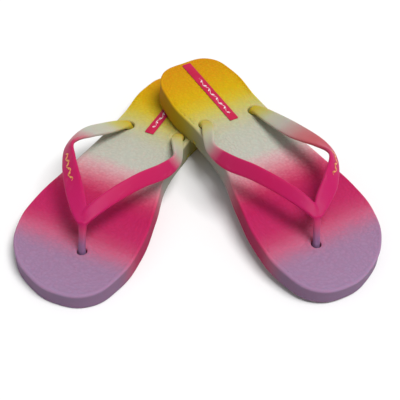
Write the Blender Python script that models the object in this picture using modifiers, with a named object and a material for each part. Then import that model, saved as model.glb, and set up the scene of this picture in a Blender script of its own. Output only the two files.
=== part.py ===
"""A pair of women's thong sandals, the left one resting with its heel on the heel of the right one.

Each sandal is a moulded sole with three stepped strap holes, a Y-shaped strap moulding whose three
stems go through the holes and end in flat buttons under the sole, a thin label on the heel and a
raised ornament on the outer band. A sandal is drawn in its own frame, +X to the outer side of the
right foot, +Y from the heel to the toes and +Z up from the underside, and is then placed. The left
sandal is the mirror image of the right one, apart from the bow of its outer band.
"""
import math

import bmesh
import bpy
from mathutils import Euler, Matrix, Vector

MM = 0.001
GAP = 0.3 * MM
HOLE_CLEARANCE = 0.6 * MM

# Sole
SOLE_LENGTH = 250 * MM
HEEL_THICKNESS = 19.5 * MM
TOE_THICKNESS = 12.0 * MM
SOLE_EDGE_RADIUS = 0.9 * MM
OUTLINE_STEPS = 6
WELD_DISTANCE = 0.01 * MM
BEVEL_ABOVE_ANGLE = 50
SOLE_OUTLINE = [
    (0, 0), (23.5, 5), (32.2, 26), (31.9, 62), (34.2, 100), (39.2, 140), (43.0, 176), (40.6, 202),
    (28.5, 227), (4, 245), (-20, 250), (-42, 242), (-52, 219), (-52.4, 188), (-43.5, 148),
    (-33.2, 112), (-31.6, 76), (-33.2, 34), (-23, 5),
]

# Strap holes, each with a wide step from below for the strap's button
POST_HOLE = (-16.8, 208.8)
OUTER_HOLE = (21.0, 74.0)
INNER_HOLE = (-22.6, 70.5)
POST_STEM_RADIUS = 3.0 * MM
BAND_STEM_RADIUS = 4.7 * MM
BUTTON_RADIUS = 9.0 * MM
BUTTON_BOTTOM = 0.6 * MM
BUTTON_THICKNESS = 3.0 * MM
STEP_DEPTH = BUTTON_BOTTOM + BUTTON_THICKNESS + GAP
HOLE_SIDES = 32
CUTTER_BOTTOM = -5 * MM
CUTTER_TOP = 30 * MM

# Strap bands. Each row is x, y, height over the footbed, width and thickness in millimetres, and
# the band's tilt in degrees: 0 lies flat, 90 stands on edge with its face outwards.
NOSE = (-14.5, 201.5, 19.5, 6.5, 3.8, 8)
OUTER_BAND_RIGHT = [
    NOSE,
    (-7.5, 193.5, 23.5, 12.0, 3.6, 14),
    (6, 178, 27.0, 14.0, 3.0, 26),
    (22, 158, 28.0, 13.5, 3.0, 42),
    (33.5, 138, 24.5, 12.0, 3.0, 50),
    (33.5, 113, 17.0, 12.5, 3.0, -2),
    (28, 94, 9.5, 12.0, 3.2, -12),
    (22, 79.5, 4.5, 10.0, 3.4, -5),
]
OUTER_BAND_LEFT = [
    NOSE,
    (-5, 194, 23.5, 11.5, 3.6, 20),
    (11, 182, 26.5, 13.5, 3.0, 36),
    (26, 165, 26.5, 13.0, 3.0, 54),
    (28.5, 146, 22.5, 13.5, 3.0, 18),
    (25, 121, 15.5, 14.5, 3.0, -12),
    (22.5, 97, 9.0, 12.5, 3.2, -18),
    (21, 80, 4.5, 10.0, 3.4, -8),
]
INNER_BAND = [
    NOSE,
    (-17, 192, 23.5, 10.0, 3.6, 24),
    (-23, 174, 25.0, 11.0, 3.0, 38),
    (-32.5, 150, 24.0, 11.5, 3.0, 46),
    (-39.5, 127, 17.5, 12.0, 3.0, 46),
    (-39, 105, 10.5, 9.5, 3.0, 58),
    (-31, 88, 5.5, 9.5, 3.2, 34),
    (-24.3, 76.5, 4.0, 9.5, 3.4, 6),
]
SECTION_SIDES = 16
STEPS_PER_ROW = 4
BAND_SQUARENESS = 0.55
ELBOW_SHIFT = (0.6, 0.5)
ELBOW_THICKNESS = 7.0 * MM
ELBOW_SQUARENESS = 0.85
ROUND_BELOW_FOOTBED = 3.5 * MM
# The toe post leans and rises by these millimetres; each section is its share of the way up, its
# width and its depth.
POST_LEAN = (2.3, -8.0)
POST_HEIGHT = 22.0
POST_SQUARENESS = 0.8
POST_SECTIONS = [(0.05, 5.2, 4.6), (0.5, 5.2, 4.4), (0.85, 6.2, 4.6), (1.0, 5.4, 3.8)]

# Heel label and band ornament
LABEL_LENGTH = 72.5 * MM
LABEL_WIDTH = 7.6 * MM
LABEL_THICKNESS = 0.4 * MM
LABEL_CENTRE = (1.0 * MM, 39.5 * MM)
# The ornament runs between these shares of the outer band's length.
ORNAMENT_START = 0.31
ORNAMENT_END = 0.48
ORNAMENT_SWING = 1.5 * MM
ORNAMENT_WAVES = 3.5
ORNAMENT_WIDTH = 1.3 * MM
ORNAMENT_THICKNESS = 0.5 * MM
ORNAMENT_STEPS = 42

SOLE_SHARP_ANGLE = 35
STRAP_SHARP_ANGLE = 50

# Where the two sandals lie. The frame's origin is under the middle of the pair.
PAIR_CENTRE = Vector((-1.7, 11.52, 0)) * MM
RIGHT_MIDDLE = Vector((-61.5, 14.6, 0)) * MM
RIGHT_TURN = math.radians(180 - 26.2)
LEFT_MIDDLE = Vector((50.7, 15.7, 11.5)) * MM
LEFT_TURN = math.radians(180 + 32.3)
LEFT_PITCH = math.radians(-5.4)
LEFT_ROLL = math.radians(-1.6)


def clear_scene():
    """Remove what a new file holds."""
    for thing in list(bpy.data.objects):
        bpy.data.objects.remove(thing, do_unlink=True)


def new_collection(name):
    collection = bpy.data.collections.new(name)
    bpy.context.scene.collection.children.link(collection)
    return collection


def new_material(name, colour, roughness, metallic=0.0):
    material = bpy.data.materials.new(name)
    material.use_nodes = True
    shader = material.node_tree.nodes["Principled BSDF"]
    shader.inputs["Base Color"].default_value = (*colour, 1)
    shader.inputs["Roughness"].default_value = roughness
    shader.inputs["Metallic"].default_value = metallic
    return material


def footbed_height(y):
    """Thickness of the sole, thinner towards the toes."""
    return HEEL_THICKNESS + (TOE_THICKNESS - HEEL_THICKNESS) * y / SOLE_LENGTH


def link_mesh(name, mesh, collection):
    thing = bpy.data.objects.new(name, mesh)
    collection.objects.link(thing)
    return thing


def sole_blank(name, collection):
    """Smooth closed outline, extruded and given the sloping top."""
    curve = bpy.data.curves.new(name + "_outline", "CURVE")
    curve.dimensions = "2D"
    curve.fill_mode = "BOTH"
    curve.extrude = HEEL_THICKNESS / 2
    curve.resolution_u = OUTLINE_STEPS
    spline = curve.splines.new("BEZIER")
    spline.bezier_points.add(len(SOLE_OUTLINE) - 1)
    for point, (x, y) in zip(spline.bezier_points, SOLE_OUTLINE):
        point.co = (x * MM, y * MM, 0)
        point.handle_left_type = "AUTO"
        point.handle_right_type = "AUTO"
    spline.use_cyclic_u = True
    guide = bpy.data.objects.new(name + "_outline", curve)
    collection.objects.link(guide)
    bpy.context.view_layer.update()
    evaluated = guide.evaluated_get(bpy.context.evaluated_depsgraph_get())
    mesh = bpy.data.meshes.new_from_object(evaluated)
    bpy.data.objects.remove(guide, do_unlink=True)
    shape = bmesh.new()
    shape.from_mesh(mesh)
    bmesh.ops.remove_doubles(shape, verts=shape.verts, dist=WELD_DISTANCE)
    for vert in shape.verts:
        top = vert.co.z > 0
        vert.co.z = footbed_height(vert.co.y) if top else 0.0
    bmesh.ops.recalc_face_normals(shape, faces=shape.faces)
    shape.to_mesh(mesh)
    shape.free()
    mesh.name = name
    return link_mesh(name, mesh, collection)


def add_cylinder_cutter(name, radius, top, centre, collection):
    """Upright cylinder from below the sole up to a height."""
    depth = top - CUTTER_BOTTOM
    bpy.ops.mesh.primitive_cylinder_add(
        vertices=HOLE_SIDES, radius=radius, depth=depth, location=(*centre, top - depth / 2))
    cutter = bpy.context.active_object
    cutter.name = name
    for other in list(cutter.users_collection):
        other.objects.unlink(cutter)
    collection.objects.link(cutter)
    cutter.hide_render = True
    cutter.display_type = "WIRE"
    return cutter


def cut(body, cutter):
    modifier = body.modifiers.new(cutter.name, "BOOLEAN")
    modifier.operation = "DIFFERENCE"
    modifier.solver = "EXACT"
    modifier.object = cutter


def add_sole(side, collection, cutters):
    """Moulded sole with eased edges and three stepped holes."""
    sole = sole_blank(side + "_sole", collection)
    bevel = sole.modifiers.new("eased_edges", "BEVEL")
    bevel.width = SOLE_EDGE_RADIUS
    bevel.segments = 2
    bevel.limit_method = "ANGLE"
    bevel.angle_limit = math.radians(BEVEL_ABOVE_ANGLE)
    holes = {
        "post": (POST_HOLE, POST_STEM_RADIUS),
        "outer": (OUTER_HOLE, BAND_STEM_RADIUS),
        "inner": (INNER_HOLE, BAND_STEM_RADIUS),
    }
    for hole, ((x, y), stem_radius) in holes.items():
        label = f"{side}_{hole}"
        centre = (x * MM, y * MM)
        shaft = add_cylinder_cutter(
            label + "_shaft", stem_radius + HOLE_CLEARANCE, CUTTER_TOP, centre, cutters)
        step = add_cylinder_cutter(
            label + "_step", BUTTON_RADIUS + GAP, STEP_DEPTH, centre, cutters)
        cut(sole, shaft)
        cut(sole, step)
    return sole


def smooth_rows(rows, steps):
    """Catmull-Rom curve through rows of numbers of any length."""
    last = len(rows) - 1
    result = []
    for index in range(last):
        before = rows[max(index - 1, 0)]
        start = rows[index]
        end = rows[index + 1]
        after = rows[min(index + 2, last)]
        for step in range(steps):
            t = step / steps
            result.append([
                0.5 * (2 * b + (c - a) * t + (2 * a - 5 * b + 4 * c - d) * t ** 2
                       + (3 * b - a - 3 * c + d) * t ** 3)
                for a, b, c, d in zip(before, start, end, after)])
    result.append(list(rows[last]))
    return result


def section_ring(centre, across, through, width, thickness, squareness):
    """Points of an oval, with squareness 1, down to a rounded box as it nears 0."""
    ring = []
    for index in range(SECTION_SIDES):
        angle = 2 * math.pi * (index + 0.5) / SECTION_SIDES
        u = math.copysign(abs(math.cos(angle)) ** squareness, math.cos(angle)) * width / 2
        v = math.copysign(abs(math.sin(angle)) ** squareness, math.sin(angle)) * thickness / 2
        ring.append(centre + across * u + through * v)
    return ring


def loft(name, rings, collection):
    """Closed body through rings of equal length."""
    shape = bmesh.new()
    loops = [[shape.verts.new(point) for point in ring] for ring in rings]
    count = len(rings[0])
    for near, far in zip(loops, loops[1:]):
        for index in range(count):
            following = (index + 1) % count
            shape.faces.new((near[index], near[following], far[following], far[index]))
    shape.faces.new(loops[0])
    shape.faces.new(loops[-1])
    bmesh.ops.recalc_face_normals(shape, faces=shape.faces)
    mesh = bpy.data.meshes.new(name)
    shape.to_mesh(mesh)
    shape.free()
    return link_mesh(name, mesh, collection)


def face_direction(across, along, inward_sign):
    """Outward side of a band whose width points inwards along across."""
    return across.cross(along) * -inward_sign


def band_frames(rows, inward_sign):
    """Centre, width direction, face normal, width and thickness at each step along a band."""
    points = smooth_rows(rows, STEPS_PER_ROW)
    centres = [Vector((x * MM, y * MM, footbed_height(y * MM) + h * MM)) for x, y, h, *_ in points]
    frames = []
    for index, (centre, row) in enumerate(zip(centres, points)):
        width, thickness, tilt = row[3:]
        near = centres[max(index - 1, 0)]
        far = centres[min(index + 1, len(centres) - 1)]
        along = (far - near).normalized()
        inward = Vector((-along.y, along.x, 0)).normalized() * inward_sign
        lean = math.radians(tilt)
        across = inward * math.cos(lean) + Vector((0, 0, 1)) * math.sin(lean)
        across = (across - along * across.dot(along)).normalized()
        face = face_direction(across, along, inward_sign)
        frames.append((centre, across, face, width * MM, thickness * MM))
    return frames


def stem_rings(hole, stem_radius, across, through):
    """Rings of a round stem going down its hole to the flat button under the sole."""
    x, y = (value * MM for value in hole)
    top = footbed_height(y)
    button_top = BUTTON_BOTTOM + BUTTON_THICKNESS
    levels = [
        (top - ROUND_BELOW_FOOTBED, stem_radius), (button_top, stem_radius), (button_top, BUTTON_RADIUS),
        (BUTTON_BOTTOM, BUTTON_RADIUS)]
    return [
        section_ring(Vector((x, y, z)), across, through, 2 * radius, 2 * radius, 1.0)
        for z, radius in levels]


def add_band(name, rows, hole, inward_sign, collection):
    """Flat band that turns down into a round stem with a button."""
    frames = band_frames(rows, inward_sign)
    rings = [section_ring(*frame, BAND_SQUARENESS) for frame in frames]
    across = frames[-1][1]
    across = Vector((across.x, across.y, 0)).normalized()
    down = Vector((0, 0, -1))
    rearward = down.cross(across) * inward_sign
    forward_shift, rise = (value * MM for value in ELBOW_SHIFT)
    x, y = (value * MM for value in hole)
    elbow = Vector((x, y, footbed_height(y) + rise)) - rearward * forward_shift
    through = face_direction(across, (rearward + down).normalized(), inward_sign)
    rings.append(section_ring(
        elbow, across, through, 2 * BAND_STEM_RADIUS, ELBOW_THICKNESS, ELBOW_SQUARENESS))
    through = face_direction(across, down, inward_sign)
    rings += stem_rings(hole, BAND_STEM_RADIUS, across, through)
    return loft(name, rings, collection)


def add_post(name, collection):
    """Toe post: an upright stem that leans back to the meeting of the bands."""
    x, y = (value * MM for value in POST_HOLE)
    top = footbed_height(y)
    across = Vector((1, 0, 0))
    through = Vector((0, 1, 0))
    rings = list(reversed(stem_rings(POST_HOLE, POST_STEM_RADIUS, across, through)))
    for share, width, depth in POST_SECTIONS:
        lean_x, lean_y = POST_LEAN
        centre = Vector((x + lean_x * share * MM, y + lean_y * share * MM,
                         top + POST_HEIGHT * share * MM))
        rings.append(section_ring(centre, across, through, width * MM, depth * MM, POST_SQUARENESS))
    return loft(name, rings, collection)


def join_bodies(body, others):
    """Union of moulded pieces that are one body on the real strap."""
    for other in others:
        modifier = body.modifiers.new(other.name, "BOOLEAN")
        modifier.operation = "UNION"
        modifier.solver = "EXACT"
        modifier.object = other
        other.hide_render = True
        other.display_type = "WIRE"


def add_strap(side, outer_rows, collection, cutters):
    """Y-shaped strap: toe post, outer band and inner band in one moulding."""
    strap = add_band(side + "_strap", outer_rows, OUTER_HOLE, -1, collection)
    inner = add_band(side + "_inner_band", INNER_BAND, INNER_HOLE, 1, cutters)
    post = add_post(side + "_post", cutters)
    join_bodies(strap, [inner, post])
    return strap


def add_label(side, collection):
    """Thin strip that lies along the middle of the heel."""
    x, y = LABEL_CENTRE
    slope = math.atan2(TOE_THICKNESS - HEEL_THICKNESS, SOLE_LENGTH)
    bpy.ops.mesh.primitive_cube_add(size=1)
    label = bpy.context.active_object
    label.name = side + "_heel_label"
    for other in list(label.users_collection):
        other.objects.unlink(label)
    collection.objects.link(label)
    lift = Vector((x, y, footbed_height(y) + GAP + LABEL_THICKNESS / 2))
    size = Matrix.Diagonal((LABEL_WIDTH, LABEL_LENGTH, LABEL_THICKNESS, 1))
    label.data.transform(Matrix.Translation(lift) @ Matrix.Rotation(slope, 4, "X") @ size)
    return label


def add_ornament(side, outer_rows, collection):
    """Raised wave line on the outer face of the outer band."""
    frames = band_frames(outer_rows, -1)
    last = len(frames) - 1
    rings = []
    path = []
    for step in range(ORNAMENT_STEPS + 1):
        share = step / ORNAMENT_STEPS
        place = (ORNAMENT_START + (ORNAMENT_END - ORNAMENT_START) * share) * last
        index = min(int(place), last - 1)
        blend = place - index
        near = frames[index]
        far = frames[index + 1]
        centre, across, face = (near[part].lerp(far[part], blend) for part in range(3))
        thickness = near[4] + (far[4] - near[4]) * blend
        swing = ORNAMENT_SWING * math.sin(2 * math.pi * ORNAMENT_WAVES * share)
        lift = thickness / 2 + GAP + ORNAMENT_THICKNESS / 2
        path.append((centre + across * swing + face * lift, face.normalized()))
    for step, (centre, face) in enumerate(path):
        near = path[max(step - 1, 0)][0]
        far = path[min(step + 1, ORNAMENT_STEPS)][0]
        along = (far - near).normalized()
        across = face.cross(along).normalized()
        half_width = across * ORNAMENT_WIDTH / 2
        half_height = face * ORNAMENT_THICKNESS / 2
        rings.append([
            centre + half_width + half_height, centre - half_width + half_height,
            centre - half_width - half_height, centre + half_width - half_height])
    return loft(side + "_strap_emblem", rings, collection)


def mirrored(thing):
    """Turn a right-foot piece into a left-foot one in its own frame."""
    thing.location.x = -thing.location.x
    thing.data.transform(Matrix.Diagonal((-1, 1, 1, 1)))
    thing.data.flip_normals()


def build_sandal(side, outer_rows, parts, cutters, materials):
    """All pieces of one sandal, under an empty at the middle of its underside."""
    sole = add_sole(side, parts, cutters)
    strap = add_strap(side, outer_rows, parts, cutters)
    label = add_label(side, parts)
    ornament = add_ornament(side, outer_rows, parts)
    for thing, material in zip((sole, strap, label, ornament), materials):
        thing.data.materials.clear()
        thing.data.materials.append(material)
    pieces = [thing for thing in list(parts.objects) + list(cutters.objects)
              if thing.name.startswith(side + "_") and thing.type == "MESH"]
    if side == "left":
        for thing in pieces:
            mirrored(thing)
    middle = bpy.data.objects.new(side + "_sandal_frame", None)
    parts.objects.link(middle)
    for thing in pieces:
        thing.location.y -= SOLE_LENGTH / 2
        thing.parent = middle
    return middle, sole, strap


def shade(thing, angle):
    thing.data.shade_smooth()
    thing.data.set_sharp_from_angle(angle=math.radians(angle))


def main():
    clear_scene()
    parts = new_collection("thong_sandals")
    cutters = new_collection("cutters")
    materials = (
        new_material("sole_foam", (0.62, 0.11, 0.30), 0.75),
        new_material("strap_moulding", (0.66, 0.02, 0.17), 0.38),
        new_material("label_film", (0.60, 0.02, 0.11), 0.45),
        new_material("gold_ink", (0.80, 0.55, 0.16), 0.35, 0.8),
    )
    right = build_sandal("right", OUTER_BAND_RIGHT, parts, cutters, materials)
    left = build_sandal("left", OUTER_BAND_LEFT, parts, cutters, materials)
    for middle, sole, strap in (right, left):
        shade(sole, SOLE_SHARP_ANGLE)
        shade(strap, STRAP_SHARP_ANGLE)
    right[0].location = RIGHT_MIDDLE - PAIR_CENTRE
    right[0].rotation_euler = Euler((0, 0, RIGHT_TURN))
    left[0].location = LEFT_MIDDLE - PAIR_CENTRE
    left[0].rotation_euler = Euler((LEFT_PITCH, LEFT_ROLL, LEFT_TURN))
    bpy.context.view_layer.update()


main()
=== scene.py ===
"""The looks of a pair of thong sandals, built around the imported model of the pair.

Each sandal is drawn in its own frame, as in the model: +X to the outer side of the right foot, +Y from
the heel to the toes, +Z up from the underside, in millimetres until a mesh is made. The meshes are then
set down where the sandals lie, and the materials turn a place back into the sandal's own frame, so that
the colour fades follow the sandal.
"""

import math

import bmesh
import bpy
import numpy as np
from mathutils import Euler, Matrix, Vector, noise


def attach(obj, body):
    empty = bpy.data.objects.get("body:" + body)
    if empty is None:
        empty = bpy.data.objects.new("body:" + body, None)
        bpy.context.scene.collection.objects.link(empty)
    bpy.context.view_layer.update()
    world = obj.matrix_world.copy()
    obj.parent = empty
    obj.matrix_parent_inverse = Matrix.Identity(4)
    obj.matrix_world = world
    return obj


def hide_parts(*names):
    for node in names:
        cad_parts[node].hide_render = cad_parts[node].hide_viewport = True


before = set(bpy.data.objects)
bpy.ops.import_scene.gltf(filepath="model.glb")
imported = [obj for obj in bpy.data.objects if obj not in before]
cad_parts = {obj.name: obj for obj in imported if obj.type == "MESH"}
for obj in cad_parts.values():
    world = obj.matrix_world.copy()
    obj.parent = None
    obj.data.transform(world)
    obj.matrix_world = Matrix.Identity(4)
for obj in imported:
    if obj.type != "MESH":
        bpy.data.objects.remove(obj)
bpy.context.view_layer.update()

MM = 0.001

# Sole, with the same driving sizes as the model
SOLE_LENGTH = 250
HEEL_THICKNESS = 19.5
TOE_THICKNESS = 12.0
SOLE_OUTLINE = [
    (0, 0), (23.5, 5), (32.2, 26), (31.9, 62), (34.2, 100), (39.2, 140), (43.0, 176), (40.6, 202),
    (28.5, 227), (4, 245), (-20, 250), (-42, 242), (-52, 219), (-52.4, 188), (-43.5, 148),
    (-33.2, 112), (-31.6, 76), (-33.2, 34), (-23, 5),
]
OUTLINE_STEPS = 24
SOLE_CENTRE = (-4.0, 122.0)
SOLE_HALF_WIDTH = 46.0
GRID_ACROSS = 128
GRID_ALONG = 296
TOP_EDGE_RADIUS = 1.3
BOTTOM_EDGE_RADIUS = 0.8
EDGE_RINGS = 4
WALL_RINGS = 5
WALL_HOLLOW = 0.25
SOLE_SHARP_ANGLE = 35

# Strap holes
POST_HOLE = (-16.8, 208.8)
OUTER_HOLE = (21.0, 74.0)
INNER_HOLE = (-22.6, 70.5)
POST_STEM_RADIUS = 3.0
BAND_STEM_RADIUS = 4.7
HOLE_CLEARANCE = 0.6
BUTTON_RADIUS = 9.0
BUTTON_BOTTOM = 0.6
BUTTON_THICKNESS = 3.0
BUTTON_GAP = 0.3
HOLE_FLARE = 0.7
HOLE_SIDES = 64
HOLES = ((POST_HOLE, POST_STEM_RADIUS), (OUTER_HOLE, BAND_STEM_RADIUS), (INNER_HOLE, BAND_STEM_RADIUS))

# Relief of the footbed and the tread
PEBBLE_SIZE = (3.3, 2.3)
PEBBLE_HEIGHT = 0.32
PEBBLE_GROOVE = 0.34
LIP_RADIUS = 2.3
LIP_WIDTH = 0.9
LIP_HEIGHT = 0.35
TREAD_PITCH = 7.0
TREAD_DEPTH = 1.0
TREAD_WAVE_LENGTH = 21.0
TREAD_WAVE_SWING = 1.8
TREAD_BORDER = 5.0

# Strap bands: x, y, height over the footbed, width and thickness, and the tilt in degrees
NOSE = (-14.5, 201.5, 19.5, 6.5, 3.8, 8)
OUTER_BAND_RIGHT = [
    NOSE,
    (-7.5, 193.5, 23.5, 12.0, 3.6, 14),
    (6, 178, 27.0, 14.0, 3.0, 26),
    (22, 158, 28.0, 13.5, 3.0, 42),
    (33.5, 138, 24.5, 12.0, 3.0, 50),
    (33.5, 113, 17.0, 12.5, 3.0, -2),
    (28, 94, 9.5, 12.0, 3.2, -12),
    (22, 79.5, 4.5, 10.0, 3.4, -5),
]
OUTER_BAND_LEFT = [
    NOSE,
    (-5, 194, 23.5, 11.5, 3.6, 20),
    (11, 182, 26.5, 13.5, 3.0, 36),
    (26, 165, 26.5, 13.0, 3.0, 54),
    (28.5, 146, 22.5, 13.5, 3.0, 18),
    (25, 121, 15.5, 14.5, 3.0, -12),
    (22.5, 97, 9.0, 12.5, 3.2, -18),
    (21, 80, 4.5, 10.0, 3.4, -8),
]
INNER_BAND = [
    NOSE,
    (-17, 192, 23.5, 10.0, 3.6, 24),
    (-23, 174, 25.0, 11.0, 3.0, 38),
    (-32.5, 150, 24.0, 11.5, 3.0, 46),
    (-39.5, 127, 17.5, 12.0, 3.0, 46),
    (-39, 105, 10.5, 9.5, 3.0, 58),
    (-31, 88, 5.5, 9.5, 3.2, 34),
    (-24.3, 76.5, 4.0, 9.5, 3.4, 6),
]
SECTION_SIDES = 40
STEPS_PER_ROW = 12
BAND_SQUARENESS = 0.5
ELBOW_SHIFT = (0.6, 0.5)
ELBOW_THICKNESS = 7.0
ELBOW_SQUARENESS = 0.85
ROUND_BELOW_FOOTBED = 3.5
POST_LEAN = (2.3, -8.0)
POST_HEIGHT = 22.0
POST_SQUARENESS = 0.8
POST_SECTIONS = [(0.05, 5.2, 4.6), (0.5, 5.2, 4.4), (0.85, 6.2, 4.6), (1.0, 5.4, 3.8)]
STRAP_VOXEL = 0.5
STRAP_SMOOTHING = 8

# Heel label with its printed vine, and the gold vine on the outer band
GAP = 0.05
LABEL_LENGTH = 72.5
LABEL_WIDTH = 7.6
LABEL_THICKNESS = 0.5
LABEL_CORNER = 0.5
LABEL_EDGE = 0.1
LABEL_SHARP_ANGLE = 40
LABEL_CENTRE = (1.0, 39.5)
VINE_LENGTH = 46.0
VINE_SHIFT = 6.5
VINE_WAVES = 4
VINE_SWING = 1.1
VINE_LINE = 0.22
VINE_STEPS = 160
LEAF_LENGTH = 2.6
LEAF_WIDTH = 1.1
LEAF_SIDES = 12
PRINT_THICKNESS = 0.12
EMBLEM_START = 0.31
EMBLEM_END = 0.48
EMBLEM_SWING = 1.5
EMBLEM_WAVES = 3.5
EMBLEM_LINE = 0.34
EMBLEM_STEPS = 120
EMBLEM_LEAF = (2.6, 1.3)
EMBLEM_THICKNESS = 0.6
EMBLEM_LIFT = 0.05

# How the two sandals lie
PAIR_CENTRE = Vector((-1.7, 11.52, 0))
RIGHT_MIDDLE = Vector((-61.5, 14.6, 0))
RIGHT_TURN = math.radians(180 - 26.2)
LEFT_MIDDLE = Vector((50.7, 15.7, 11.5))
LEFT_TURN = math.radians(180 + 32.3)
LEFT_PITCH = math.radians(-5.4)
LEFT_ROLL = math.radians(-1.6)

# The strap's colours change from the outer band's to the inner band's from this far to the big
# toe's side of the sandal's middle, over the second distance
INNER_FROM = 8.0
INNER_CHANGE = 6.0
# The toe post's colours begin between these distances from the heel
POST_FROM = 185
POST_FULL = 192

# Studio: first, how much brighter the light makes an upward face than its own colour
STUDIO_BRIGHTNESS = 1.2
SURROUND_LIGHT = 0.42
SURROUND_SEEN = 0.97
KEY_FROM = (0.50, -0.34, 1.40)
KEY_SOFTNESS = math.radians(32)
KEY_ENERGY = 2.9
FLOOR_SIZE = 8
FLOOR_DROP = 0.0003

# Camera
VIEW_TARGET = Vector((0.0016, -0.0116, 0.0))
VIEW_ELEVATION = math.radians(42.45)
VIEW_DISTANCE = 0.8005
LENS = 94.6


# ---------------------------------------------------------------- small helpers

def smoothstep(low, high, value):
    t = np.clip((value - low) / (high - low), 0, 1)
    return t * t * (3 - 2 * t)


def footbed_height(y):
    return HEEL_THICKNESS + (TOE_THICKNESS - HEEL_THICKNESS) * y / SOLE_LENGTH


def new_piece(name, mesh):
    piece = bpy.data.objects.new(name, mesh)
    bpy.context.scene.collection.objects.link(piece)
    return piece


def to_metres(shape, mirror):
    """From a sandal's millimetres to its frame's metres, mirrored for the left foot."""
    side = -MM if mirror else MM
    shift = Matrix.Translation((0, -SOLE_LENGTH / 2, 0))
    bmesh.ops.transform(shape, verts=shape.verts, matrix=Matrix.Diagonal((side, MM, MM, 1)) @ shift)
    bmesh.ops.recalc_face_normals(shape, faces=shape.faces)


def finished_mesh(piece):
    """The mesh of a piece with its modifiers applied."""
    bpy.context.view_layer.update()
    evaluated = piece.evaluated_get(bpy.context.evaluated_depsgraph_get())
    mesh = bpy.data.meshes.new_from_object(evaluated)
    piece.modifiers.clear()
    piece.data = mesh
    mesh.name = piece.name
    return mesh


def shade(piece, angle):
    piece.data.shade_smooth()
    piece.data.set_sharp_from_angle(angle=math.radians(angle))


# ---------------------------------------------------------------- sole

def outline_loop():
    """The sole's smooth outline as points in millimetres."""
    curve = bpy.data.curves.new("outline", "CURVE")
    curve.dimensions = "2D"
    curve.resolution_u = OUTLINE_STEPS
    spline = curve.splines.new("BEZIER")
    spline.bezier_points.add(len(SOLE_OUTLINE) - 1)
    for point, (x, y) in zip(spline.bezier_points, SOLE_OUTLINE):
        point.co = (x, y, 0)
        point.handle_left_type = "AUTO"
        point.handle_right_type = "AUTO"
    spline.use_cyclic_u = True
    guide = bpy.data.objects.new("outline", curve)
    bpy.context.scene.collection.objects.link(guide)
    bpy.context.view_layer.update()
    mesh = bpy.data.meshes.new_from_object(guide.evaluated_get(bpy.context.evaluated_depsgraph_get()))
    points = np.array([vert.co[:2] for vert in mesh.vertices])
    bpy.data.objects.remove(guide, do_unlink=True)
    return points


class Outline:
    """The outline drawn in by a distance, read by direction from the sole's centre."""

    def __init__(self, points, inset):
        ahead = np.roll(points, -1, axis=0) - np.roll(points, 1, axis=0)
        normal = np.stack([ahead[:, 1], -ahead[:, 0]], axis=1)
        normal /= np.linalg.norm(normal, axis=1)[:, None]
        outward = points - np.array(SOLE_CENTRE)
        normal *= np.sign((normal * outward).sum(axis=1))[:, None]
        inner = points - normal * inset - np.array(SOLE_CENTRE)
        angle = np.arctan2(inner[:, 1], inner[:, 0])
        order = np.argsort(angle)
        self.angle = angle[order]
        self.radius = np.linalg.norm(inner, axis=1)[order]
        self.normal = normal[order]

    def at(self, angle):
        return np.interp(angle, self.angle, self.radius, period=2 * math.pi)

    def normal_at(self, angle):
        parts = [np.interp(angle, self.angle, self.normal[:, k], period=2 * math.pi) for k in (0, 1)]
        normal = np.stack(parts, axis=-1)
        return normal / np.linalg.norm(normal, axis=-1)[..., None]


def grid_directions():
    """A square grid bent into a disc: each point's direction and its share of the way out."""
    s = np.linspace(-1, 1, GRID_ACROSS + 1)[None, :]
    t = np.linspace(-1, 1, GRID_ALONG + 1)[:, None]
    across = s * np.sqrt(1 - t * t / 2)
    along = t * np.sqrt(1 - s * s / 2)
    share = np.hypot(across, along)
    angle = np.arctan2(along * SOLE_LENGTH / 2, across * SOLE_HALF_WIDTH)
    return angle, share


def border_indices(rows, columns):
    """Indices round the edge of a grid, in order."""
    bottom = [(0, c) for c in range(columns)]
    right = [(r, columns - 1) for r in range(1, rows)]
    top = [(rows - 1, c) for c in range(columns - 2, -1, -1)]
    left = [(r, 0) for r in range(rows - 2, 0, -1)]
    return bottom + right + top + left


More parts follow.
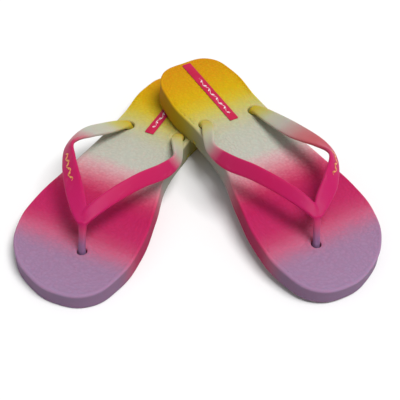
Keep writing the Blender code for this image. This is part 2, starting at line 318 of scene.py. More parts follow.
def sole_body():
    """Closed sole: footbed grid, eased edge, wall, lower edge and tread grid."""
    points = outline_loop()
    top_line = Outline(points, TOP_EDGE_RADIUS)
    low_line = Outline(points, BOTTOM_EDGE_RADIUS)
    angle, share = grid_directions()
    rows, columns = angle.shape
    direction = np.stack([np.cos(angle), np.sin(angle)], axis=-1)
    centre = np.array(SOLE_CENTRE)
    shape = bmesh.new()

    def grid(line, height, flip):
        places = centre + direction * (share * line.at(angle))[..., None]
        verts = [[shape.verts.new((*places[r, c], height(places[r, c][1])))
                  for c in range(columns)] for r in range(rows)]
        for r in range(rows - 1):
            for c in range(columns - 1):
                corners = [verts[r][c], verts[r][c + 1], verts[r + 1][c + 1], verts[r + 1][c]]
                shape.faces.new(corners[::-1] if flip else corners)
        return verts

    top = grid(top_line, footbed_height, False)
    low = grid(low_line, lambda y: 0.0, True)
    edge = border_indices(rows, columns)
    edge_angle = np.array([angle[r, c] for r, c in edge])
    out = np.stack([np.cos(edge_angle), np.sin(edge_angle)], axis=-1)
    high_points = centre + out * top_line.at(edge_angle)[:, None]
    low_points = centre + out * low_line.at(edge_angle)[:, None]
    high_normal = top_line.normal_at(edge_angle)
    low_normal = low_line.normal_at(edge_angle)
    high_edge = footbed_height(high_points[:, 1])

    loops = [[top[r][c] for r, c in edge]]

    def add_loop(places, heights):
        loops.append([shape.verts.new((*place, height)) for place, height in zip(places, heights)])

    for ring in range(1, EDGE_RINGS + 1):
        turn = math.pi / 2 * ring / EDGE_RINGS
        add_loop(high_points + high_normal * TOP_EDGE_RADIUS * math.sin(turn),
                 high_edge - TOP_EDGE_RADIUS * (1 - math.cos(turn)))
    wall_top = high_points + high_normal * TOP_EDGE_RADIUS
    wall_low = low_points + low_normal * BOTTOM_EDGE_RADIUS
    for ring in range(1, WALL_RINGS + 1):
        part = ring / (WALL_RINGS + 1)
        hollow = WALL_HOLLOW * math.sin(math.pi * part)
        heights = (high_edge - TOP_EDGE_RADIUS) * (1 - part) + BOTTOM_EDGE_RADIUS * part
        add_loop(wall_top * (1 - part) + wall_low * part - high_normal * hollow, heights)
    for ring in range(EDGE_RINGS):
        turn = math.pi / 2 * ring / EDGE_RINGS
        add_loop(low_points + low_normal * BOTTOM_EDGE_RADIUS * math.cos(turn),
                 np.full(len(edge), BOTTOM_EDGE_RADIUS * (1 - math.sin(turn))))
    loops.append([low[r][c] for r, c in edge])
    for upper, lower in zip(loops, loops[1:]):
        for index in range(len(edge)):
            following = (index + 1) % len(edge)
            shape.faces.new((upper[index], lower[index], lower[following], upper[following]))
    return shape, top_line


def hole_cutter(name, centre, stem_radius):
    """Turned cutter of a strap hole: a wide step below, a shaft and a flared rim above."""
    x, y = centre
    top = footbed_height(y)
    shaft = stem_radius + HOLE_CLEARANCE
    step_top = BUTTON_BOTTOM + BUTTON_THICKNESS + BUTTON_GAP
    step = BUTTON_RADIUS + BUTTON_GAP
    profile = [(step, -2), (step, step_top), (shaft, step_top), (shaft, top - 1.2 * HOLE_FLARE),
               (shaft + 0.3 * HOLE_FLARE, top - 0.4 * HOLE_FLARE), (shaft + HOLE_FLARE, top + 0.1),
               (shaft + 2 * HOLE_FLARE, top + 2)]
    shape = bmesh.new()
    loops = []
    for radius, height in profile:
        turns = [2 * math.pi * k / HOLE_SIDES for k in range(HOLE_SIDES)]
        loops.append([shape.verts.new((x + radius * math.cos(a), y + radius * math.sin(a), height))
                      for a in turns])
    for lower, upper in zip(loops, loops[1:]):
        for index in range(HOLE_SIDES):
            following = (index + 1) % HOLE_SIDES
            shape.faces.new((lower[index], lower[following], upper[following], upper[index]))
    shape.faces.new(loops[0][::-1])
    shape.faces.new(loops[-1])
    bmesh.ops.recalc_face_normals(shape, faces=shape.faces)
    mesh = bpy.data.meshes.new(name)
    shape.to_mesh(mesh)
    shape.free()
    return new_piece(name, mesh)


def hole_distance(x, y):
    """Distance to the rim of the nearest strap hole."""
    gaps = [np.hypot(x - hx, y - hy) - stem - HOLE_CLEARANCE for (hx, hy), stem in HOLES]
    return np.min(gaps, axis=0)


def pebbles(x, y):
    """Rounded cells like moulded grain, from 0 in the grooves to 1 on top."""
    heights = np.empty(len(x))
    for index, (px, py) in enumerate(zip(x / PEBBLE_SIZE[0], y / PEBBLE_SIZE[1])):
        near, next_near = noise.voronoi((px, py, 0.0))[0][:2]
        heights[index] = next_near - near
    return smoothstep(0.0, PEBBLE_GROOVE, heights)


def tread(x, y):
    """Waving grooves, from 0 on the tread's blocks to 1 at the bottom of a groove."""
    wave = TREAD_WAVE_SWING * np.sin(2 * math.pi * x / TREAD_WAVE_LENGTH)
    ridge = np.cos(2 * math.pi * (y + wave) / TREAD_PITCH)
    return smoothstep(0.45, 0.8, ridge)


def add_relief(mesh, line):
    """Pebbled footbed, a low lip round each strap hole and grooves in the tread."""
    count = len(mesh.vertices)
    co = np.empty(count * 3)
    mesh.vertices.foreach_get("co", co)
    co = co.reshape(-1, 3)
    x, y, z = co.T
    offset = co[:, :2] - np.array(SOLE_CENTRE)
    angle = np.arctan2(offset[:, 1], offset[:, 0])
    margin = line.at(angle) - np.hypot(offset[:, 0], offset[:, 1])
    holes = hole_distance(x, y)
    on_top = np.abs(z - footbed_height(y)) < 0.02
    on_tread = np.abs(z) < 0.02
    grain = np.zeros(count)
    grain[on_top] = pebbles(x[on_top], y[on_top])
    fade = smoothstep(0.2, 1.6, margin) * smoothstep(0.6, 1.6, holes)
    lip = LIP_HEIGHT * np.exp(-((holes - LIP_RADIUS) / LIP_WIDTH) ** 2)
    raised = (grain - 1) * PEBBLE_HEIGHT * fade * (1 - lip / LIP_HEIGHT) + lip * smoothstep(0.3, 1.2, holes)
    co[on_top, 2] += raised[on_top]
    buttons = np.min([np.hypot(x - hx, y - hy) - BUTTON_RADIUS for (hx, hy), _ in HOLES], axis=0)
    groove = tread(x, y) * smoothstep(TREAD_BORDER - 1, TREAD_BORDER, margin)
    groove *= smoothstep(2.0, 3.0, buttons)
    co[on_tread, 2] += TREAD_DEPTH * groove[on_tread]
    mesh.vertices.foreach_set("co", co.ravel())
    attribute = mesh.attributes.new("grain", "FLOAT", "POINT")
    attribute.data.foreach_set("value", (grain * fade + (1 - fade)).astype(np.float32))
    mesh.update()


def sole_mesh():
    """The right foot's sole in millimetres."""
    shape, line = sole_body()
    bmesh.ops.recalc_face_normals(shape, faces=shape.faces)
    mesh = bpy.data.meshes.new("sole")
    shape.to_mesh(mesh)
    shape.free()
    body = new_piece("sole_body", mesh)
    cutters = []
    for index, (centre, stem_radius) in enumerate(HOLES):
        cutter = hole_cutter(f"cutter_{index}", centre, stem_radius)
        modifier = body.modifiers.new(cutter.name, "BOOLEAN")
        modifier.operation = "DIFFERENCE"
        modifier.solver = "EXACT"
        modifier.object = cutter
        cutters.append(cutter)
    result = finished_mesh(body)
    for thing in [body] + cutters:
        bpy.data.objects.remove(thing, do_unlink=True)
    add_relief(result, line)
    return result


# ---------------------------------------------------------------- strap

def smooth_rows(rows, steps):
    """Catmull-Rom curve through rows of numbers of any length."""
    last = len(rows) - 1
    result = []
    for index in range(last):
        around = [rows[max(index - 1, 0)], rows[index], rows[index + 1], rows[min(index + 2, last)]]
        for step in range(steps):
            t = step / steps
            result.append([
                0.5 * (2 * b + (c - a) * t + (2 * a - 5 * b + 4 * c - d) * t ** 2
                       + (3 * b - a - 3 * c + d) * t ** 3)
                for a, b, c, d in zip(*around)])
    result.append(list(rows[last]))
    return result


def section_ring(centre, across, through, width, thickness, squareness):
    """Points of an oval, with squareness 1, down to a rounded box as it nears 0."""
    ring = []
    for index in range(SECTION_SIDES):
        angle = 2 * math.pi * (index + 0.5) / SECTION_SIDES
        u = math.copysign(abs(math.cos(angle)) ** squareness, math.cos(angle)) * width / 2
        v = math.copysign(abs(math.sin(angle)) ** squareness, math.sin(angle)) * thickness / 2
        ring.append(centre + across * u + through * v)
    return ring


def loft(shape, rings):
    """Closed body through rings of equal length, added to a shape."""
    loops = [[shape.verts.new(point) for point in ring] for ring in rings]
    count = len(rings[0])
    for near, far in zip(loops, loops[1:]):
        for index in range(count):
            following = (index + 1) % count
            shape.faces.new((near[index], near[following], far[following], far[index]))
    shape.faces.new(loops[0])
    shape.faces.new(loops[-1])


def face_direction(across, along, inward_sign):
    """Outward side of a band whose width points inwards along across."""
    return across.cross(along) * -inward_sign


def band_frames(rows, inward_sign):
    """Centre, width direction, face normal, width and thickness at each step along a band."""
    points = smooth_rows(rows, STEPS_PER_ROW)
    centres = [Vector((x, y, footbed_height(y) + h)) for x, y, h, *_ in points]
    frames = []
    for index, (centre, row) in enumerate(zip(centres, points)):
        width, thickness, tilt = row[3:]
        near = centres[max(index - 1, 0)]
        far = centres[min(index + 1, len(centres) - 1)]
        along = (far - near).normalized()
        inward = Vector((-along.y, along.x, 0)).normalized() * inward_sign
        lean = math.radians(tilt)
        across = inward * math.cos(lean) + Vector((0, 0, 1)) * math.sin(lean)
        across = (across - along * across.dot(along)).normalized()
        frames.append((centre, across, face_direction(across, along, inward_sign), width, thickness))
    return frames


def stem_rings(hole, stem_radius, across, through):
    """Rings of a round stem going down its hole to the flat button under the sole."""
    x, y = hole
    button_top = BUTTON_BOTTOM + BUTTON_THICKNESS
    levels = [
        (footbed_height(y) - ROUND_BELOW_FOOTBED, stem_radius), (button_top, stem_radius),
        (button_top, BUTTON_RADIUS), (BUTTON_BOTTOM, BUTTON_RADIUS)]
    return [
        section_ring(Vector((x, y, z)), across, through, 2 * radius, 2 * radius, 1.0)
        for z, radius in levels]


def add_band(shape, rows, hole, inward_sign):
    """Flat band that turns down into a round stem with a button."""
    frames = band_frames(rows, inward_sign)
    rings = [section_ring(*place, BAND_SQUARENESS) for place in frames]
    across = frames[-1][1]
    across = Vector((across.x, across.y, 0)).normalized()
    down = Vector((0, 0, -1))
    rearward = down.cross(across) * inward_sign
    forward_shift, rise = ELBOW_SHIFT
    x, y = hole
    elbow = Vector((x, y, footbed_height(y) + rise)) - rearward * forward_shift
    through = face_direction(across, (rearward + down).normalized(), inward_sign)
    rings.append(section_ring(
        elbow, across, through, 2 * BAND_STEM_RADIUS, ELBOW_THICKNESS, ELBOW_SQUARENESS))
    through = face_direction(across, down, inward_sign)
    rings += stem_rings(hole, BAND_STEM_RADIUS, across, through)
    loft(shape, rings)


def add_post(shape):
    """Toe post: an upright stem that leans back to the meeting of the bands."""
    x, y = POST_HOLE
    across = Vector((1, 0, 0))
    through = Vector((0, 1, 0))
    rings = list(reversed(stem_rings(POST_HOLE, POST_STEM_RADIUS, across, through)))
    for share, width, depth in POST_SECTIONS:
        lean_x, lean_y = POST_LEAN
        centre = Vector((x + lean_x * share, y + lean_y * share,
                         footbed_height(y) + POST_HEIGHT * share))
        rings.append(section_ring(centre, across, through, width, depth, POST_SQUARENESS))
    loft(shape, rings)


def strap_piece(name, outer_rows, mirror):
    """Y-shaped strap in one skin, with the bands flowing into each other at the toe post."""
    shape = bmesh.new()
    add_band(shape, outer_rows, OUTER_HOLE, -1)
    add_band(shape, INNER_BAND, INNER_HOLE, 1)
    add_post(shape)
    to_metres(shape, mirror)
    mesh = bpy.data.meshes.new(name)
    shape.to_mesh(mesh)
    shape.free()
    piece = new_piece(name, mesh)
    remesh = piece.modifiers.new("one_skin", "REMESH")
    remesh.mode = "VOXEL"
    remesh.voxel_size = STRAP_VOXEL * MM
    ease = piece.modifiers.new("ease", "SMOOTH")
    ease.factor = 0.5
    ease.iterations = STRAP_SMOOTHING
    finished_mesh(piece)
    piece.data.shade_smooth()
    return piece


# ---------------------------------------------------------------- label and emblem

def heel_slope():
    return math.atan2(TOE_THICKNESS - HEEL_THICKNESS, SOLE_LENGTH)


def label_piece(name, mirror):
    """Thin film with round corners and softened edges."""
    shape = bmesh.new()
    bmesh.ops.create_cube(shape, size=1)
    x, y = LABEL_CENTRE
    lift = Vector((x, y, footbed_height(y) + GAP + LABEL_THICKNESS / 2))
    size = Matrix.Diagonal((LABEL_WIDTH, LABEL_LENGTH, LABEL_THICKNESS, 1))
    place = Matrix.Translation(lift) @ Matrix.Rotation(heel_slope(), 4, "X")
    bmesh.ops.transform(shape, verts=shape.verts, matrix=place @ size)
    upright = []
    for edge in shape.edges:
        reach = edge.verts[1].co - edge.verts[0].co
        if abs(reach.z) > 0.9 * LABEL_THICKNESS and reach.length < 2 * LABEL_THICKNESS:
            upright.append(edge)
    bmesh.ops.bevel(shape, geom=upright, offset=LABEL_CORNER, segments=5, affect="EDGES")
    to_metres(shape, mirror)
    mesh = bpy.data.meshes.new(name)
    shape.to_mesh(mesh)
    shape.free()
    piece = new_piece(name, mesh)
    bevel = piece.modifiers.new("soft_edge", "BEVEL")
    bevel.width = LABEL_EDGE * MM
    bevel.segments = 2
    bevel.limit_method = "ANGLE"
    finished_mesh(piece)
    shade(piece, LABEL_SHARP_ANGLE)
    return piece


def ribbon(shape, path, half_width, half_height):
    """Thin raised line along places of centre, direction across and face normal."""
    rings = []
    count = len(path)
    for index, (centre, across, face) in enumerate(path):
        taper = min(1.0, 0.25 + 4 * min(index, count - 1 - index) / count)
        u = across * half_width * taper
        v = face * half_height
        rings.append([centre + u - v, centre + 0.7 * u + v, centre - 0.7 * u + v, centre - u - v])
    loft(shape, rings)


def leaf(shape, base, heading, across, face, length, width, half_height):
    """Small raised leaf that grows from base."""
    outline = []
    for index in range(LEAF_SIDES):
        angle = 2 * math.pi * index / LEAF_SIDES
        along = 0.5 * length * (1 - math.cos(angle))
        side = 0.5 * width * math.sin(angle) * (1.15 - 0.5 * along / length)
        outline.append(base + heading * along + across * side)
    low = [shape.verts.new(point - face * half_height) for point in outline]
    high = [shape.verts.new(point + face * half_height) for point in outline]
    shape.faces.new(low[::-1])
    shape.faces.new(high)
    for index in range(LEAF_SIDES):
        following = (index + 1) % LEAF_SIDES
        shape.faces.new((low[index], low[following], high[following], high[index]))


def vine(name, frames, swing, waves, line, leaf_size, half_height, mirror):
    """Waving stem with a leaf at each crest, laid on places of centre, across and face."""
    last = len(frames) - 1
    path = []
    for index, (centre, across, face) in enumerate(frames):
        share = index / last
        path.append((centre + across * swing * math.sin(2 * math.pi * waves * share), face))
    shape = bmesh.new()
    laid = []
    for index, (centre, face) in enumerate(path):
        along = (path[min(index + 1, last)][0] - path[max(index - 1, 0)][0]).normalized()
        laid.append((centre, face.cross(along).normalized(), face))
    ribbon(shape, laid, line, half_height)
    crests = int(2 * waves)
    for crest in range(crests):
        index = int((crest + 0.5) / (2 * waves) * last)
        centre, face = path[index]
        across = frames[index][1]
        outward = across * (-1 if crest % 2 else 1)
        along = (path[min(index + 2, last)][0] - path[max(index - 2, 0)][0]).normalized()
        heading = (along * 0.8 - outward * 0.75).normalized()
        side = face.cross(heading).normalized()
        start = centre - outward * line + heading * line
        leaf(shape, start, heading, side, face, leaf_size[0], leaf_size[1], half_height)
    to_metres(shape, mirror)
    mesh = bpy.data.meshes.new(name)
    shape.to_mesh(mesh)
    shape.free()
    piece = new_piece(name, mesh)
    shade(piece, LABEL_SHARP_ANGLE)
    return piece


def label_frames():
    """Places along the label's upper face, from its heel end."""
    x, y = LABEL_CENTRE
    slope = Matrix.Rotation(heel_slope(), 4, "X")
    lift = Vector((x, y, footbed_height(y) + GAP + LABEL_THICKNESS / 2))
    rise = LABEL_THICKNESS / 2 + PRINT_THICKNESS / 2 - 0.02
    frames = []
    for index in range(VINE_STEPS + 1):
        along = (index / VINE_STEPS - 0.5) * VINE_LENGTH + VINE_SHIFT
        centre = lift + slope @ Vector((0, along, rise))
        frames.append((centre, Vector((1, 0, 0)), slope @ Vector((0, 0, 1))))
    return frames


def emblem_frames(outer_rows):
    """Places along the outer face of the outer band."""
    frames = band_frames(outer_rows, -1)
    last = len(frames) - 1
    places = []
    for step in range(EMBLEM_STEPS + 1):
        share = EMBLEM_START + (EMBLEM_END - EMBLEM_START) * step / EMBLEM_STEPS
        index = min(int(share * last), last - 1)
        part = share * last - index
        near = frames[index]
        far = frames[index + 1]
        centre, across, face = (near[k].lerp(far[k], part) for k in range(3))
        thickness = near[4] + (far[4] - near[4]) * part
        places.append((centre + face * (thickness / 2 + EMBLEM_LIFT), across, face.normalized()))
    return places


# ---------------------------------------------------------------- materials

def seen(red, green, blue):
    """Surface colour that looks like these 0 to 255 numbers on the footbed in the studio's light."""
    return (*[part / STUDIO_BRIGHTNESS for part in srgb(red, green, blue)[:3]], 1.0)


def srgb(red, green, blue):
    """Linear colour from the usual 0 to 255 numbers."""
    values = [value / 255 for value in (red, green, blue)]
    linear = [v / 12.92 if v <= 0.04045 else ((v + 0.055) / 1.055) ** 2.4 for v in values]
    return (*linear, 1.0)


class Maker:
    """Short calls for building a node material."""

    def __init__(self, name):
        self.material = bpy.data.materials.new(name)
        self.material.use_nodes = True
        self.tree = self.material.node_tree
        self.shader = self.tree.nodes["Principled BSDF"]

    def node(self, kind, **values):
        made = self.tree.nodes.new(kind)
        for key, value in values.items():
            setattr(made, key, value)
        return made

    def link(self, source, target):
        self.tree.links.new(source, target)

    def object_axes(self, frame_at=None):
        """Places on the piece, read in the frame that lies at frame_at, whole and by axis."""
        place = self.node("ShaderNodeTexCoord").outputs["Object"]
        if frame_at is not None:
            turned = self.node("ShaderNodeMapping", vector_type="TEXTURE")
            turned.inputs["Location"].default_value = frame_at.to_translation()
            turned.inputs["Rotation"].default_value = frame_at.to_euler()
            self.link(place, turned.inputs["Vector"])
            place = turned.outputs[0]
        split = self.node("ShaderNodeSeparateXYZ")
        self.link(place, split.inputs[0])
        return place, split.outputs

    def math(self, operation, first, second, third=None):
        made = self.node("ShaderNodeMath", operation=operation)
        for index, value in enumerate((first, second, third)):
            if value is None:
                continue
            if isinstance(value, (int, float)):
                made.inputs[index].default_value = value
            else:
                self.link(value, made.inputs[index])
        return made.outputs[0]

    def noise(self, vector, scale, detail=2.0, stretch=(1, 1, 1)):
        shape = self.node("ShaderNodeMapping")
        shape.inputs["Scale"].default_value = stretch
        self.link(vector, shape.inputs["Vector"])
        made = self.node("ShaderNodeTexNoise")
        made.inputs["Scale"].default_value = scale
        made.inputs["Detail"].default_value = detail
        self.link(shape.outputs[0], made.inputs["Vector"])
        return made.outputs["Fac"]

    def ramp(self, factor, stops):
        made = self.node("ShaderNodeValToRGB")
        elements = made.color_ramp.elements
        while len(elements) > 1:
            elements.remove(elements[-1])
        elements[0].position = stops[0][0]
        elements[0].color = seen(*stops[0][1])
        for position, colour in stops[1:]:
            elements.new(position).color = seen(*colour)
        self.link(factor, made.inputs[0])
        return made.outputs[0]

    def mix(self, factor, first, second, blend="MIX"):
        made = self.node("ShaderNodeMix", data_type="RGBA", blend_type=blend)
        for socket, value in ((made.inputs[0], factor), (made.inputs[6], first), (made.inputs[7], second)):
            if isinstance(value, (int, float, tuple)):
                socket.default_value = value
            else:
                self.link(value, socket)
        return made.outputs[2]

    def bump(self, height, strength, distance, before=None):
        made = self.node("ShaderNodeBump")
        made.inputs["Strength"].default_value = strength
        made.inputs["Distance"].default_value = distance
        self.link(height, made.inputs["Height"])
        if before is not None:
            self.link(before, made.inputs["Normal"])
        return made.outputs[0]

    def between(self, value, start, end):
        """0 on the start's side of a value and 1 on the end's, with a straight rise."""
        made = self.node("ShaderNodeMapRange")
        self.link(value, made.inputs["Value"])
        made.inputs["From Min"].default_value = start
        made.inputs["From Max"].default_value = end
        return made.outputs[0]

    def footbed(self, axes):
        """Height of the footbed over or under a place in the sandal's frame."""
        slope = (TOE_THICKNESS - HEEL_THICKNESS) / SOLE_LENGTH
        middle_height = (HEEL_THICKNESS + TOE_THICKNESS) / 2 * MM
        return self.math("MULTIPLY_ADD", axes["Y"], slope, middle_height)

    def glow(self, weight, radius, scale):
        """Light that soaks into the surface."""
        self.shader.inputs["Subsurface Weight"].default_value = weight
        self.shader.inputs["Subsurface Radius"].default_value = radius
        self.shader.inputs["Subsurface Scale"].default_value = scale

    def spread(self, value, low, high):
        """A 0 to 1 value spread between low and high."""
        return self.math("MULTIPLY_ADD", value, high - low, low)


# Painted shade: the colour on the sole's sides and underside is this much darker than on the footbed.
PAINTED_SIDE_SHADE = 0.32
SOLE_FADE = [
    (0.00, (206, 140, 2)), (0.10, (211, 156, 2)), (0.17, (211, 172, 8)), (0.215, (208, 182, 46)),
    (0.26, (200, 189, 100)), (0.31, (191, 188, 150)), (0.36, (189, 189, 172)), (0.46, (193, 193, 181)),
    (0.495, (212, 172, 174)), (0.54, (210, 126, 142)), (0.575, (203, 82, 114)), (0.615, (192, 42, 92)),
    (0.66, (190, 30, 92)), (0.74, (192, 42, 98)), (0.775, (195, 66, 108)), (0.81, (199, 98, 132)),
    (0.85, (172, 118, 150)), (0.875, (162, 124, 158)), (1.00, (162, 130, 164)),
]
OUTER_FADE = {
    "right": [
        (0.295, (198, 172, 30)), (0.335, (192, 182, 96)), (0.375, (190, 189, 165)), (0.44, (188, 185, 174)),
        (0.475, (194, 158, 156)), (0.505, (195, 122, 130)), (0.535, (195, 84, 110)), (0.56, (192, 30, 92)),
        (0.66, (192, 24, 94)), (0.80, (191, 24, 98)),
    ],
    "left": [
        (0.295, (198, 172, 30)), (0.335, (188, 178, 92)), (0.375, (186, 186, 158)), (0.43, (182, 176, 164)),
        (0.475, (185, 146, 142)), (0.515, (190, 112, 116)), (0.56, (194, 92, 98)), (0.61, (194, 78, 98)),
        (0.65, (198, 62, 104)), (0.675, (192, 26, 96)), (0.80, (191, 24, 98)),
    ],
}
INNER_FADE = [
    (0.27, (198, 172, 40)), (0.30, (190, 178, 96)), (0.345, (190, 188, 160)), (0.385, (188, 184, 170)),
    (0.415, (192, 158, 154)), (0.44, (202, 112, 132)), (0.47, (193, 36, 94)), (0.66, (194, 24, 92)),
    (0.80, (191, 24, 98)),
]
POST_FADE = [
    (0.00, (142, 108, 148)), (0.25, (152, 106, 146)), (0.50, (184, 88, 128)), (0.72, (200, 66, 112)),
    (0.95, (191, 26, 98)),
]


def sole_material(side, frame_at):
    """Matt foam whose sprayed colours fade from toe to heel, catching on the pebbled grain."""
    make = Maker(side + "_sole_foam")
    place, axes = make.object_axes(frame_at)
    share = make.math("MULTIPLY_ADD", axes["Y"], 1 / (SOLE_LENGTH * MM), 0.5)
    drift = make.math("SUBTRACT", make.noise(place, 22, 1.0), 0.5)
    fleck = make.math("SUBTRACT", make.noise(place, 520, 1.0, (0.55, 1, 1)), 0.5)
    grain = make.node("ShaderNodeAttribute", attribute_name="grain").outputs["Fac"]
    share = make.math("MULTIPLY_ADD", drift, 0.03, share)
    share = make.math("MULTIPLY_ADD", fleck, 0.02, share)
    share = make.math("MULTIPLY_ADD", make.math("SUBTRACT", grain, 0.8), -0.008, share)
    colour = make.ramp(share, SOLE_FADE)
    # Painted shade: darker where the grain value is low, in the pebbles' grooves and over most of the
    # underside.
    groove = make.math("MULTIPLY_ADD", grain, -0.10, 0.10)
    colour = make.mix(groove, colour, (0.3, 0.16, 0.2, 1), "MULTIPLY")
    # Painted shade: from just below the footbed's edge down, over the sides and underside, the colour is
    # darkened by a fixed share.
    below = make.math("SUBTRACT", make.footbed(axes), axes["Z"])
    shaded_side_mask = make.between(below, 0.8 * MM, 2.4 * MM)
    colour = make.mix(make.math("MULTIPLY", shaded_side_mask, PAINTED_SIDE_SHADE), colour, (0, 0, 0, 1))
    make.link(colour, make.shader.inputs["Base Color"])
    rough = make.spread(make.noise(place, 60, 3.0), 0.62, 0.82)
    make.link(rough, make.shader.inputs["Roughness"])
    make.shader.inputs["Specular IOR Level"].default_value = 0.12
    make.glow(0.35, (1.0, 0.2, 0.25), 0.004)
    fine = make.noise(place, 2600, 2.0)
    pores = make.noise(place, 900, 1.0, (0.6, 1, 1))
    normal = make.bump(pores, 0.25, 0.0002)
    make.link(make.bump(fine, 0.18, 0.0001, normal), make.shader.inputs["Normal"])
    return make.material


def strap_material(side, frame_at):
    """Satin moulded plastic: magenta bands, mint and yellow rear ends, a lavender toe post."""
    make = Maker(side + "_strap_moulding")
    place, axes = make.object_axes(frame_at)
    share = make.math("MULTIPLY_ADD", axes["Y"], 1 / (SOLE_LENGTH * MM), 0.5)
    drift = make.math("SUBTRACT", make.noise(place, 70, 2.0), 0.5)
    mist = make.math("SUBTRACT", make.noise(place, 1400, 1.0), 0.5)
    along = make.math("MULTIPLY_ADD", drift, 0.022, share)
    along = make.math("MULTIPLY_ADD", mist, 0.016, along)
    outer = make.ramp(along, OUTER_FADE[side])
    inner = make.ramp(along, INNER_FADE)
    big_toe_side = -MM if side == "right" else MM
    is_inner = make.between(
        axes["X"], INNER_FROM * big_toe_side, (INNER_FROM + INNER_CHANGE) * big_toe_side)
    bands = make.mix(is_inner, outer, inner)
    rise = make.math("SUBTRACT", axes["Z"], make.footbed(axes))
    rise = make.math("MULTIPLY_ADD", rise, 1 / (POST_HEIGHT * MM), 0.0)
    rise = make.math("MULTIPLY_ADD", drift, 0.12, rise)
    post = make.ramp(rise, POST_FADE)
    middle = SOLE_LENGTH / 2
    at_front = make.between(axes["Y"], (POST_FROM - middle) * MM, (POST_FULL - middle) * MM)
    colour = make.mix(at_front, bands, post)
    scuff = make.noise(place, 240, 4.0, (1, 0.35, 1))
    scuff = make.math("MULTIPLY", make.math("MAXIMUM", make.math("SUBTRACT", scuff, 0.6), 0.0), 0.12)
    colour = make.mix(scuff, colour, (0.80, 0.70, 0.75, 1))
    make.link(colour, make.shader.inputs["Base Color"])
    rough = make.spread(make.noise(place, 180, 3.0), 0.42, 0.56)
    make.link(rough, make.shader.inputs["Roughness"])
    make.shader.inputs["Specular IOR Level"].default_value = 0.14
    make.glow(0.5, (1.0, 0.2, 0.4), 0.003)
    fine = make.noise(place, 1800, 2.0)
    make.link(make.bump(fine, 0.12, 0.0001), make.shader.inputs["Normal"])
    return make.material


def label_material():
    """Printed film with a faint weave and soft gloss."""
    make = Maker("label_film")
    place, _ = make.object_axes()
    cloud = make.noise(place, 120, 3.0)
    colour = make.ramp(cloud, [(0.3, (190, 6, 62)), (0.7, (200, 18, 76))])
    make.link(colour, make.shader.inputs["Base Color"])
    make.link(make.spread(make.noise(place, 300, 2.0), 0.38, 0.52), make.shader.inputs["Roughness"])
    make.shader.inputs["Specular IOR Level"].default_value = 0.35
    make.link(make.bump(make.noise(place, 2200, 1.0), 0.1, 0.0001), make.shader.inputs["Normal"])
    return make.material


def ink_material():
    """White print, a little thin in places."""
    make = Maker("white_ink")
    place, _ = make.object_axes()
    colour = make.ramp(make.noise(place, 900, 3.0), [(0.35, (232, 196, 204)), (0.55, (248, 240, 240))])
    make.link(colour, make.shader.inputs["Base Color"])
    make.link(make.spread(make.noise(place, 700, 2.0), 0.45, 0.6), make.shader.inputs["Roughness"])
    return make.material


def gold_material():
    """Gold print with small worn patches."""
    make = Maker("gold_ink")
    place, _ = make.object_axes()
    wear = make.noise(place, 1100, 3.0)
    colour = make.ramp(wear, [(0.35, (226, 140, 84)), (0.6, (248, 188, 112))])
    make.link(colour, make.shader.inputs["Base Color"])
    make.link(make.spread(make.noise(place, 1500, 2.0), 0.3, 0.5), make.shader.inputs["Roughness"])
    make.shader.inputs["Metallic"].default_value = 0.25
    make.link(make.bump(wear, 0.15, 0.0001), make.shader.inputs["Normal"])
    return make.material


# ---------------------------------------------------------------- the pair

def wear_material(piece, material):
    piece.data.materials.clear()
    piece.data.materials.append(material)


def build_sandal(side, outer_rows, place, sole_pattern, materials):
    """All pieces of one sandal, riding on its body."""
    mirror = side == "left"
    body = side + "_sandal"
    shape = bmesh.new()
    shape.from_mesh(sole_pattern)
    to_metres(shape, mirror)
    mesh = bpy.data.meshes.new(side + "_footbed_sole")
    shape.to_mesh(mesh)
    shape.free()
    sole = new_piece(side + "_footbed_sole", mesh)
    shade(sole, SOLE_SHARP_ANGLE)
    strap = strap_piece(side + "_thong_strap", outer_rows, mirror)
    label = label_piece(side + "_label_film", mirror)
    printed = vine(
        side + "_label_vine", label_frames(), VINE_SWING, VINE_WAVES, VINE_LINE,
        (LEAF_LENGTH, LEAF_WIDTH), PRINT_THICKNESS / 2, mirror)
    emblem = vine(
        side + "_gold_vine", emblem_frames(outer_rows), EMBLEM_SWING, EMBLEM_WAVES, EMBLEM_LINE,
        EMBLEM_LEAF, EMBLEM_THICKNESS / 2, mirror)
    wear_material(sole, sole_material(side, place))
    wear_material(strap, strap_material(side, place))
    for piece, key in ((label, "label"), (printed, "ink"), (emblem, "gold_ink")):
        wear_material(piece, materials[key])
    for piece in (sole, strap, label, printed, emblem):
        piece.data.transform(place)
        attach(piece, body)
    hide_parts(side + "_sole")
    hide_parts(side + "_strap")
    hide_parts(side + "_heel_label")
    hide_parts(side + "_strap_emblem")


def build_pair():
    materials = {"label": label_material(), "ink": ink_material(), "gold_ink": gold_material()}
    pattern = sole_mesh()
    right = Matrix.Translation((RIGHT_MIDDLE - PAIR_CENTRE) * MM) @ Matrix.Rotation(RIGHT_TURN, 4, "Z")
    turn = Euler((LEFT_PITCH, LEFT_ROLL, LEFT_TURN)).to_matrix().to_4x4()
    left = Matrix.Translation((LEFT_MIDDLE - PAIR_CENTRE) * MM) @ turn
    build_sandal("right", OUTER_BAND_RIGHT, right, pattern, materials)
    build_sandal("left", OUTER_BAND_LEFT, left, pattern, materials)
    bpy.data.meshes.remove(pattern)


# ---------------------------------------------------------------- studio

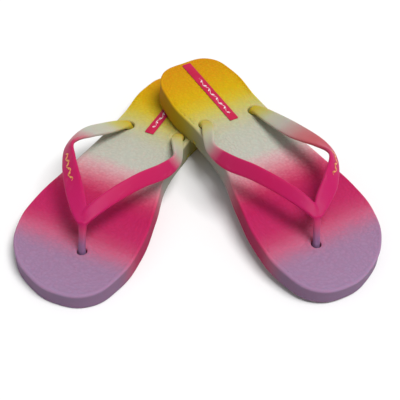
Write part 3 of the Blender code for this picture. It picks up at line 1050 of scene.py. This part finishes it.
def add_floor():
    bpy.ops.mesh.primitive_plane_add(size=FLOOR_SIZE, location=(0, 0, -FLOOR_DROP))
    floor = bpy.context.active_object
    floor.name = "studio_floor"
    make = Maker("pale_floor")
    place, _ = make.object_axes()
    tone = make.ramp(make.noise(place, 3.0, 2.0), [(0.3, (252, 252, 252)), (0.7, (255, 255, 255))])
    make.link(tone, make.shader.inputs["Base Color"])
    make.shader.inputs["Roughness"].default_value = 0.9
    make.shader.inputs["Specular IOR Level"].default_value = 0.1
    wear_material(floor, make.material)


def add_sun(name, came_from, softness, energy):
    """Far, wide lamp whose light falls evenly over the whole floor."""
    lamp = bpy.data.lights.new(name, "SUN")
    lamp.energy = energy
    lamp.angle = softness
    light = bpy.data.objects.new(name, lamp)
    light.location = came_from
    light.rotation_euler = Vector(came_from).to_track_quat("Z", "Y").to_euler()
    bpy.context.collection.objects.link(light)


def add_studio():
    """Soft key from the upper right front and a pale surround, seen brighter than it lights."""
    world = bpy.data.worlds.new("studio")
    world.use_nodes = True
    tree = world.node_tree
    dim = tree.nodes["Background"]
    dim.inputs["Color"].default_value = (1, 1, 1, 1)
    dim.inputs["Strength"].default_value = SURROUND_LIGHT
    pale = tree.nodes.new("ShaderNodeBackground")
    pale.inputs["Color"].default_value = (1, 1, 1, 1)
    pale.inputs["Strength"].default_value = SURROUND_SEEN
    mix = tree.nodes.new("ShaderNodeMixShader")
    path = tree.nodes.new("ShaderNodeLightPath")
    tree.links.new(path.outputs["Is Camera Ray"], mix.inputs[0])
    tree.links.new(dim.outputs[0], mix.inputs[1])
    tree.links.new(pale.outputs[0], mix.inputs[2])
    tree.links.new(mix.outputs[0], tree.nodes["World Output"].inputs["Surface"])
    bpy.context.scene.world = world
    add_sun("key", KEY_FROM, KEY_SOFTNESS, KEY_ENERGY)
    bpy.context.scene.view_settings.view_transform = "Standard"


def add_camera():
    camera = bpy.data.cameras.new("camera")
    camera.sensor_width = 36
    camera.lens = LENS
    camera.clip_start = 0.05
    thing = bpy.data.objects.new("camera", camera)
    bpy.context.scene.collection.objects.link(thing)
    back = Vector((0, -math.cos(VIEW_ELEVATION), math.sin(VIEW_ELEVATION)))
    thing.location = VIEW_TARGET + back * VIEW_DISTANCE
    thing.rotation_euler = (math.pi / 2 - VIEW_ELEVATION, 0, 0)
    bpy.context.scene.camera = thing


build_pair()
add_floor()
add_studio()
add_camera()
